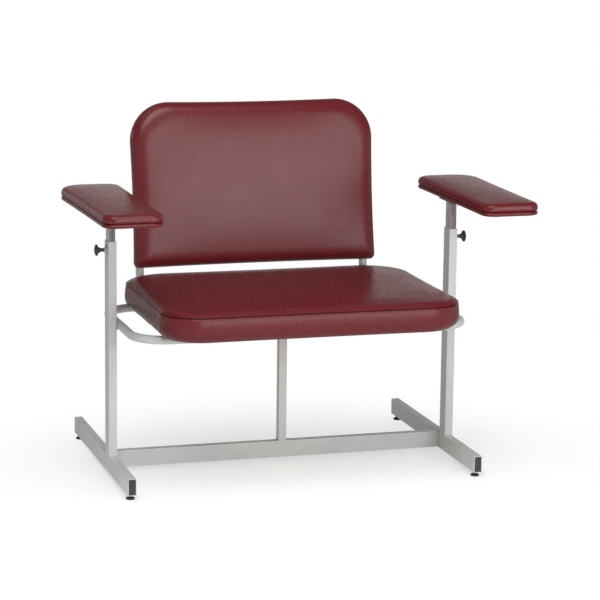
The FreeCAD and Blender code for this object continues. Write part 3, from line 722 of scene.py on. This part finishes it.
def back_form():
    """The back's cushion, laid out flat and then leaned back from its lower edge."""
    width, height, lean = 777 * MM, 509 * MM, math.radians(8)
    foot = Vector((0, POST_PLANE_Y + 336.4 * MM, 565.6 * MM))
    sizes = {"drawn_in": 3, "side": 50, "tuck": 7, "margin": 6, "pocket": 14.3, "seam_draw": 8,
             "seam_width": 4, "groove": 3.2, "roll": 44, "roll_rise": 17, "crown": 22, "shoulder": 50,
             "pucker": 0.0, "pucker_reach": 12, "cap": 4, "evening": 40}
    place = Matrix.Translation(foot) @ Matrix.Rotation(math.pi / 2 - lean, 4, "X")
    return cushion_form(rectangle(-width / 2, width / 2, 0, height),
                        (16 * MM, 16 * MM, 120 * MM, 120 * MM), BACK_STEPS, sizes, place)


def arm_outline(side):
    """Corners and corner radii of one armrest, counter-clockwise from above."""
    inner, outer_front, outer_rear = POST_X - 60 * MM, POST_X + 113 * MM, POST_X + 128 * MM
    front, rear = POST_PLANE_Y - 444 * MM, POST_PLANE_Y + 173 * MM
    corners = [(inner, front), (outer_front, front), (outer_rear, rear), (inner, rear)]
    radii = [34 * MM, 34 * MM, 78 * MM, 42 * MM]
    if SIDES[side] > 0:
        return corners, radii
    mirrored = (1, 0, 3, 2)
    return [(-corners[i][0], corners[i][1]) for i in mirrored], [radii[i] for i in mirrored]


def arm_pad_form(side):
    """The crowned pad of one armrest, on its wrapped board."""
    corners, radii = arm_outline(side)
    sizes = {"drawn_in": 1.5, "side": 14, "tuck": 5, "margin": 6, "pocket": 0, "seam_draw": 1,
             "seam_width": 1.5, "groove": 0, "roll": 15, "roll_rise": 11, "crown": 15, "shoulder": 28,
             "pucker": 0, "pucker_reach": 8, "cap": 2, "evening": 18}
    place = Matrix.Translation((0, 0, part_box(side + "_arm_pad")[0].z))
    return cushion_form(corners, radii, ARM_STEPS, sizes, place)


def arm_board_form(side):
    """The board of one armrest, with its round edge and its thickness."""
    corners, radii = arm_outline(side)
    low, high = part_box(side + "_arm_board")
    return {"corners": corners, "radii": radii, "steps": ARM_STEPS, "drawn_in": 1.5 * MM, "edge": 6 * MM,
            "flat": 20 * MM, "thickness": high.z - low.z, "place": Matrix.Translation((0, 0, low.z))}


def add_upholstery():
    """The four cushions, the wrapped arm boards and the covers' turned-in edges."""
    seat, back = seat_form(), back_form()
    finish_cushion(cushion_mesh("seat_upholstery", seat), seat, "seat_cushion", "frame")
    finish_cushion(cushion_mesh("back_upholstery", back), back, "back_cushion", "frame")
    hem_band("seat_hem", seat, seat["tuck"] + 2 * MM, seat["tuck"] + seat["margin"] + 22 * MM, "frame")
    for side in SIDES:
        pad, board = arm_pad_form(side), arm_board_form(side)
        finish_cushion(cushion_mesh(side + "_arm_upholstery", pad), pad, side + "_arm_pad", side + "_arm")
        wrapped = wrapped_board(side + "_wrapped_board", board)
        finish_cover(wrapped, board, side + "_arm_board", side + "_arm")
        hem_band(side + "_arm_hem", board, 8 * MM, 23 * MM, side + "_arm")


# Small hardware, grown by Geometry Nodes along lines or at points

def new_shape_tree(name, sizes):
    """Geometry Nodes tree with named sizes and a material, and the sockets that bring them."""
    tree = bpy.data.node_groups.new(name, "GeometryNodeTree")
    tree.interface.new_socket("Geometry", in_out="INPUT", socket_type="NodeSocketGeometry")
    for label, size in sizes.items():
        socket = tree.interface.new_socket(label, in_out="INPUT", socket_type="NodeSocketFloat")
        socket.default_value = size
    tree.interface.new_socket("Material", in_out="INPUT", socket_type="NodeSocketMaterial")
    tree.interface.new_socket("Geometry", in_out="OUTPUT", socket_type="NodeSocketGeometry")
    return tree, add(tree, "NodeGroupInput").outputs


def set_out(tree, source, points, shape, turn, size=(1, 1, 1)):
    """Sets a shape out at the points, and ends the tree with plain faces in its material."""
    copies = add(tree, "GeometryNodeInstanceOnPoints",
                 {"Points": points, "Instance": shape, "Rotation": turn, "Scale": size})
    plain = add(tree, "GeometryNodeRealizeInstances", {"Geometry": copies.outputs[0]})
    smooth = add(tree, "GeometryNodeSetShadeSmooth", {0: plain.outputs[0]})
    dressed = add(tree, "GeometryNodeSetMaterial",
                  {"Geometry": smooth.outputs[0], "Material": source["Material"]})
    add(tree, "NodeGroupOutput", {"Geometry": dressed.outputs[0]})


def evenly_along(tree, source, spacing):
    """Points along the given lines, and the turn that lays X along the line at each."""
    path = add(tree, "GeometryNodeMeshToCurve", {"Mesh": source["Geometry"]})
    points = add(tree, "GeometryNodeResampleCurve",
                 {"Curve": path.outputs[0], "Length": source[spacing]}, mode="LENGTH")
    tangent = add(tree, "GeometryNodeInputTangent")
    turn = add(tree, "FunctionNodeAlignRotationToVector", {"Vector": tangent.outputs[0]}, axis="X")
    return points.outputs[0], turn


def moved(tree, shape, shift, scale=(1, 1, 1)):
    """A shape scaled and then shifted."""
    made = add(tree, "GeometryNodeTransform",
               {"Geometry": shape, "Translation": shift, "Scale": scale})
    return made.outputs[0]


def vector_of(tree, x=0.0, y=0.0, z=0.0):
    """A vector of three values."""
    return add(tree, "ShaderNodeCombineXYZ", {"X": x, "Y": y, "Z": z}).outputs[0]


def weld_tree():
    """Weld bead: rounded ripples that overlap along lines."""
    tree, source = new_shape_tree("weld bead", {"Bead Radius": 0.0022, "Ripple Length": 0.002})
    points, turn = evenly_along(tree, source, "Ripple Length")
    ripple = add(tree, "GeometryNodeMeshIcoSphere", {"Radius": 1.0, "Subdivisions": 2})
    uneven = add(tree, "FunctionNodeRandomValue", {2: 0.84, 3: 1.1, "Seed": 7}, data_type="FLOAT")
    girth = maths(tree, "MULTIPLY", source["Bead Radius"], uneven.outputs[1])
    size = vector_of(tree, source["Ripple Length"], girth, girth)
    set_out(tree, source, points, ripple.outputs[0], turn.outputs[0], size)
    return tree


def staple_tree():
    """Row of staples along lines: a slightly arched round wire for each crown."""
    tree, source = new_shape_tree(
        "staple row", {"Spacing": 0.026, "Crown Length": 0.0105, "Wire Radius": 0.0005, "Arch": 0.0014})
    points, turn = evenly_along(tree, source, "Spacing")
    turn.pivot_axis = "Z"
    half = maths(tree, "MULTIPLY", source["Crown Length"], 0.5)
    crown = add(tree, "GeometryNodeCurveQuadraticBezier",
                {"Resolution": 8, "Start": vector_of(tree, maths(tree, "MULTIPLY", half, -1.0)),
                 "Middle": vector_of(tree, z=maths(tree, "MULTIPLY", source["Arch"], -1.0)),
                 "End": vector_of(tree, half)})
    wire = add(tree, "GeometryNodeCurvePrimitiveCircle",
               {"Resolution": 6, "Radius": source["Wire Radius"]})
    staple = add(tree, "GeometryNodeCurveToMesh",
                 {"Curve": crown.outputs[0], "Profile Curve": wire.outputs[0], "Fill Caps": True})
    set_out(tree, source, points, staple.outputs[0], turn.outputs[0])
    return tree


def thread_ridge(tree, radius, pitch, turns):
    """Triangular ridge of a screw thread, wound up along Z."""
    coil = add(tree, "GeometryNodeCurveSpiral",
               {"Resolution": 20, "Rotations": turns, "Start Radius": radius, "End Radius": radius,
                "Height": maths(tree, "MULTIPLY", pitch, turns)})
    ridge = add(tree, "GeometryNodeCurvePrimitiveCircle",
                {"Resolution": 3, "Radius": maths(tree, "MULTIPLY", pitch, 0.42)})
    made = add(tree, "GeometryNodeCurveToMesh",
               {"Curve": coil.outputs[0], "Profile Curve": ridge.outputs[0], "Fill Caps": True})
    return made.outputs[0]


def thread_tree():
    """Bare thread of a levelling glide's stud, upward from each point."""
    tree, source = new_shape_tree("stud thread", {"Radius": 0.0039, "Pitch": 0.00125, "Turns": 4.0})
    ridge = thread_ridge(tree, source["Radius"], source["Pitch"], source["Turns"])
    set_out(tree, source, source["Geometry"], ridge, vector_of(tree))
    return tree


def screw_tree():
    """Pan-head screw at each point: a domed head with a cross recess, and a threaded shank above it."""
    tree, source = new_shape_tree(
        "pan head screw", {"Head Radius": 0.005, "Head Height": 0.0026, "Shank Radius": 0.0019,
                           "Shank Length": 0.024, "Pitch": 0.0018})
    radius, height = source["Head Radius"], source["Head Height"]
    ball = add(tree, "GeometryNodeMeshUVSphere", {"Segments": 24, "Rings": 12, "Radius": 1.0})
    dome = moved(tree, ball.outputs[0], (0, 0, 0), vector_of(tree, radius, radius, height))
    long_side = maths(tree, "MULTIPLY", radius, 1.1)
    short_side = maths(tree, "MULTIPLY", radius, 0.24)
    below = vector_of(tree, z=maths(tree, "MULTIPLY", height, -1.0))
    head = add(tree, "GeometryNodeMeshBoolean", {0: dome}, operation="DIFFERENCE")
    for x, y in ((long_side, short_side), (short_side, long_side)):
        slot = add(tree, "GeometryNodeMeshCube", {"Size": vector_of(tree, x, y, height)})
        tree.links.new(moved(tree, slot.outputs[0], below), head.inputs[1])
    length = source["Shank Length"]
    rod = add(tree, "GeometryNodeMeshCylinder",
              {"Vertices": 16, "Radius": source["Shank Radius"], "Depth": length})
    raised = vector_of(tree, z=maths(tree, "MULTIPLY", length, 0.5))
    pitch = source["Pitch"]
    turns = maths(tree, "MULTIPLY", maths(tree, "DIVIDE", length, pitch), 0.8)
    ridge = thread_ridge(tree, source["Shank Radius"], pitch, turns)
    whole = add(tree, "GeometryNodeJoinGeometry", {0: head.outputs[0]})
    tree.links.new(moved(tree, rod.outputs[0], raised), whole.inputs[0])
    tree.links.new(moved(tree, ridge, vector_of(tree, z=pitch)), whole.inputs[0])
    spin = add(tree, "FunctionNodeRandomValue", {2: 0.0, 3: 6.283, "Seed": 4}, data_type="FLOAT")
    set_out(tree, source, source["Geometry"], whole.outputs[0], vector_of(tree, z=spin.outputs[1]))
    return tree


def spots(points):
    """Lines of one point each, for single copies."""
    return [([point], False) for point in points]


def grow(name, tree, lines, sizes, slot, body):
    """Runs a tree on lines of points, and keeps the result as one plain mesh on a body.

    Each line comes with whether it closes.
    """
    points, edges = [], []
    for line, closed in lines:
        start = len(points)
        points += line
        edges += [(k, k + 1) for k in range(start, len(points) - 1)]
        if closed:
            edges.append((len(points) - 1, start))
    piece = new_piece(name, points, [], edges)
    path = piece.data
    modifier = piece.modifiers.new("grow", "NODES")
    modifier.node_group = tree
    values = dict(sizes, Material=FINISHES[slot])
    for socket in tree.interface.items_tree:
        if socket.in_out == "INPUT" and socket.name in values:
            modifier[socket.identifier] = values[socket.name]
    evaluated = piece.evaluated_get(bpy.context.evaluated_depsgraph_get())
    made = bpy.data.meshes.new_from_object(evaluated)
    piece.modifiers.remove(modifier)
    piece.data = made
    bpy.data.meshes.remove(path)
    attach(piece, body)
    return piece


def frame_weld_lines():
    """Lines along which the frame's tubes are welded together."""
    ends, ring_inset = 3 * MM, 1.5 * MM
    lines = []

    def run(first, last):
        lines.append(([first, last], False))

    bar_low, bar_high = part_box("crossbar")
    ring_low, ring_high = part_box("seat_ring")
    ring_z = (ring_low.z + ring_high.z) / 2
    for side, sign in SIDES.items():
        low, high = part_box(side + "_post")
        for y in (low.y, high.y):
            run((low.x + ends, y, low.z), (high.x - ends, y, low.z))
        for y in (bar_low.y, bar_high.y):
            x = sign * bar_high.x
            run((x, y, bar_low.z + ends), (x, y, bar_high.z - ends))
        for z in (ring_z - NOOK_HEIGHT, ring_z + NOOK_HEIGHT):
            x = sign * (ring_high.x - ring_inset)
            run((x, low.y + ends, z), (x, high.y - ends, z))
    low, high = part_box("centre_post")
    for x in (low.x, high.x):
        for z in (low.z, high.z):
            run((x, low.y + ends, z), (x, high.y - ends, z))
    return lines


def hem_band(name, form, outer, inner, body):
    """Edge of the cover, turned in flat under the board and stapled there.

    It lies between two distances in from the form's outline, outer and inner.
    """
    outer_ring, inner_ring = outline_ring(form, outer), outline_ring(form, inner)
    rings = [(outer_ring, HEM_LOW), (outer_ring, HEM_HIGH), (inner_ring, HEM_HIGH), (inner_ring, HEM_LOW)]
    size = len(outer_ring)
    points = [np.column_stack((outline, np.full(size, height))) for outline, height in rings]
    faces = []
    for number in range(4):
        faces += between_rings(number * size, (number + 1) % 4 * size, size)
    band = new_piece(name, np.concatenate(points), faces)
    band.data.transform(form["place"])
    band.data.materials.append(FINISHES["vinyl"])
    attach(band, body)
    row = outline_ring(form, (outer + inner) / 2)
    line = [form["place"] @ Vector((x, y, HEM_LOW)) for x, y in row]
    grow(name + "_staples", STAPLES, [(line, True)], {}, "bare_steel", body)


def add_hardware():
    """Welds, the screws under the ring and the arms, and the feet's bare threads."""
    grow("frame_welds", WELDS, frame_weld_lines(), {"Bead Radius": 2.4 * MM}, "frame_paint", "frame")
    ring_low, ring_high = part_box("ring_screws")
    ring_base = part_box("seat_ring")[0].z
    reach = ring_high.x - SCREW_HEAD
    places = spots([(x, ring_low.y + SCREW_HEAD, ring_base) for x in (-reach, 0, reach)])
    sizes = {"Shank Length": ring_high.z - ring_base, "Head Height": 1.6 * MM}
    screws = grow("ring_screw_set", SCREWS, places, sizes, "bare_steel", "frame")
    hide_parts("ring_screws")
    thread_lift = 0.7 * MM
    for side in SIDES:
        body = side + "_arm"
        low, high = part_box(side + "_arm_screws")
        plate_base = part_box(side + "_arm_plate")[0].z
        places = spots([(x, y, plate_base) for x in (low.x + SCREW_HEAD, high.x - SCREW_HEAD)
                        for y in (low.y + SCREW_HEAD, high.y - SCREW_HEAD)])
        screws = grow(side + "_arm_screw_set", SCREWS, places, {"Shank Length": high.z - plate_base},
                      "bare_steel", body)
        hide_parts(side + "_arm_screws")
        low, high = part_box(side + "_arm_stem")
        loop = [(x, y, high.z) for x, y in rectangle(low.x, high.x, low.y, high.y)]
        grow(side + "_plate_weld", WELDS, [(loop, True)], {"Bead Radius": 1.7 * MM}, "bare_steel", body)
        for end in ("front", "rear"):
            foot = end + "_" + side
            low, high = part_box(foot + "_glide")
            middle = (low + high) / 2
            start = (middle.x, middle.y, high.z + thread_lift)
            grow(foot + "_thread", THREADS, spots([start]), {}, "bare_steel", foot + "_foot")


WELDS = weld_tree()
STAPLES = staple_tree()
THREADS = thread_tree()
SCREWS = screw_tree()


# Studio: floor, light and camera

WHITE = (1, 1, 1, 1)


def seen_rays(tree):
    """Masks of the rays that are seen, straight, mirrored or through glass, and of the mirrored ones."""
    rays = add(tree, "ShaderNodeLightPath")
    seen = maths(tree, "MAXIMUM", rays.outputs["Is Camera Ray"], rays.outputs["Is Glossy Ray"])
    seen = maths(tree, "MAXIMUM", seen, rays.outputs["Is Transmission Ray"])
    return seen, rays.outputs["Is Glossy Ray"]


def add_floor():
    """Wide pale floor that keeps the chair's shadow and runs out to white.

    The shade is centred ahead of the chair's middle, and fades from its inner to its outer radius.
    """
    reach = 60.0
    shade_ahead, shade_inner, shade_outer = 0.35, 0.45, 1.35
    corners = rectangle(-reach, reach, -reach, reach)
    floor = new_piece("studio_floor", [(x, y, 0) for x, y in corners], [(0, 1, 2, 3)])
    material, tree = new_tree(bpy.data.materials, "studio floor")
    lit = add(tree, "ShaderNodeBsdfDiffuse", {"Color": (0.92, 0.92, 0.92, 1)})
    seen, mirrored = seen_rays(tree)
    place = add(tree, "ShaderNodeTexCoord").outputs["Object"]
    parts = add(tree, "ShaderNodeSeparateXYZ", {"Vector": place})
    dimmed = ranged(tree, parts.outputs["Y"], -1.2, 0.6, 1.0, 0.4)
    tone = mixed(tree, mirrored, WHITE, dimmed)
    white = add(tree, "ShaderNodeEmission", {"Color": tone, "Strength": 1.0})
    ahead = maths(tree, "ADD", parts.outputs["Y"], shade_ahead)
    level = vector_of(tree, parts.outputs["X"], ahead)
    distance = add(tree, "ShaderNodeVectorMath", {0: level}, operation="LENGTH")
    share = ranged(tree, distance.outputs["Value"], shade_inner, shade_outer, 0.45, 1.0)
    glow = add(tree, "ShaderNodeMixShader", {0: share, 1: lit.outputs[0], 2: white.outputs[0]})
    shown = add(tree, "ShaderNodeMixShader", {0: seen, 1: lit.outputs[0], 2: glow.outputs[0]})
    add(tree, "ShaderNodeOutputMaterial", {"Surface": shown.outputs[0]})
    floor.data.materials.append(material)


def add_world():
    """Surroundings that look white round the horizon and darker overhead, and light the chair evenly."""
    world, tree = new_tree(bpy.data.worlds, "studio")
    bpy.context.scene.world = world
    seen = seen_rays(tree)[0]
    place = add(tree, "ShaderNodeTexCoord").outputs["Generated"]
    heading = add(tree, "ShaderNodeSeparateXYZ", {"Vector": place})
    shade = ranged(tree, heading.outputs["Z"], 0.0, 0.26, 1.0, 0.2)
    plain = mixed(tree, seen, shade_of(WHITE, 0.54), WHITE)
    overhead = mixed(tree, seen, WHITE, shade)
    light = add(tree, "ShaderNodeBackground", {"Color": mixed(tree, 1.0, plain, overhead, "MULTIPLY")})
    add(tree, "ShaderNodeOutputWorld", {"Surface": light.outputs[0]})


def add_softbox(name, place, target, width, height, power):
    """Rectangular soft light, its sides in metres and its power in watts."""
    light = bpy.data.lights.new(name, "AREA")
    light.shape = "RECTANGLE"
    light.size = width
    light.size_y = height
    light.energy = power
    box = bpy.data.objects.new(name, light)
    box.location = place
    box.rotation_euler = (Vector(target) - Vector(place)).to_track_quat("-Z", "Y").to_euler()
    bpy.context.scene.collection.objects.link(box)


def add_camera():
    """The picture's own camera."""
    look = Vector((math.sin(CAMERA_AZIMUTH) * math.cos(CAMERA_TILT),
                   math.cos(CAMERA_AZIMUTH) * math.cos(CAMERA_TILT), -math.sin(CAMERA_TILT)))
    level = Vector((math.cos(CAMERA_AZIMUTH), -math.sin(CAMERA_AZIMUTH), 0))
    above = level.cross(look)
    right = level * math.cos(CAMERA_ROLL) + above * math.sin(CAMERA_ROLL)
    up = above * math.cos(CAMERA_ROLL) - level * math.sin(CAMERA_ROLL)
    data = bpy.data.cameras.new("picture_camera")
    data.sensor_width = SENSOR_WIDTH
    data.lens = SENSOR_WIDTH * FOCAL_SHARE
    data.clip_start = 0.1
    data.clip_end = 200
    camera = bpy.data.objects.new("picture_camera", data)
    camera.matrix_world = Matrix.Translation(CAMERA_PLACE) @ Matrix((right, up, -look)).transposed().to_4x4()
    bpy.context.scene.collection.objects.link(camera)
    bpy.context.scene.camera = camera


def add_studio():
    """Floor, surroundings, lights and camera."""
    add_floor()
    add_world()
    add_softbox("front_softbox", (1.05, -3.7, 1.4), (0, 0, 0.75), 2.8, 1.4, 77)
    add_softbox("overhead_softbox", (-0.6, -1.6, 3.2), (0, 0, 0.5), 1.8, 1.4, 52)
    add_softbox("strip_light", (-1.3, -2.7, 3.1), (0, 0, 0.7), 0.8, 0.3, 26)
    add_camera()
    bpy.context.scene.view_settings.view_transform = "Standard"


dress_nodes()
add_upholstery()
add_hardware()
add_studio()
